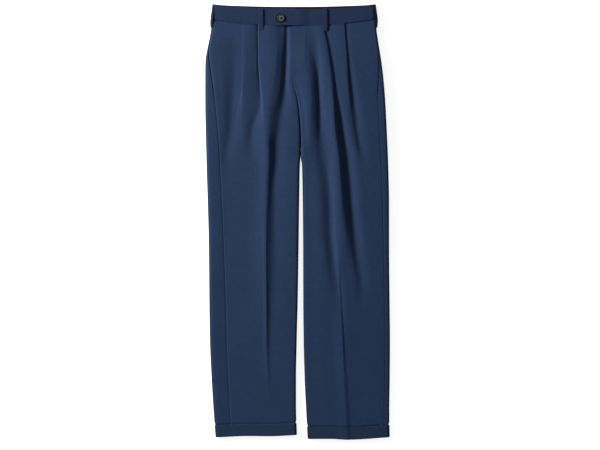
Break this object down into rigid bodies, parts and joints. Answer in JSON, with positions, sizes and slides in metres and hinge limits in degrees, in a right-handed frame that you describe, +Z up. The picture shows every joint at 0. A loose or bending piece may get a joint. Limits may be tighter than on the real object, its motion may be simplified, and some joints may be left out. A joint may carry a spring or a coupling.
{
  "type": "pleated dress trousers",
  "caption": "Navy dress trousers lying front up, with double pleats, pressed creases, turn-up cuffs, belt loops and a pointed button tab.",
  "frame": {"origin": "on the surface that the trousers lie on, under the middle of the garment", "axes": "+Z up off the surface, +Y from the hems to the waist, +X towards the wearer's left"},
  "size_m": [0.4592, 1.0861, 0.0313],
  "materials": {
    "suiting": "fine wool twill with a soft sheen",
    "lining": "smooth dark lining cloth",
    "horn": "mottled dark horn, satin"
  },
  "bodies": {
    "root": {"front_right": "suiting", "front_left": "suiting", "back_right": "suiting", "back_left": "suiting", "cuff_right": "suiting", "cuff_left": "suiting", "waistband_right": "suiting", "waistband_left": "suiting", "waistband_lining": "lining", "pocket_facing_right": "suiting", "pocket_facing_left": "suiting", "belt_loop_front_right": "suiting", "belt_loop_front_left": "suiting", "belt_loop_side_right": "suiting", "belt_loop_side_left": "suiting", "belt_loop_back_right": "suiting", "belt_loop_back_centre": "suiting", "belt_loop_back_left": "suiting", "button": "horn"}
  },
  "joints": []
}
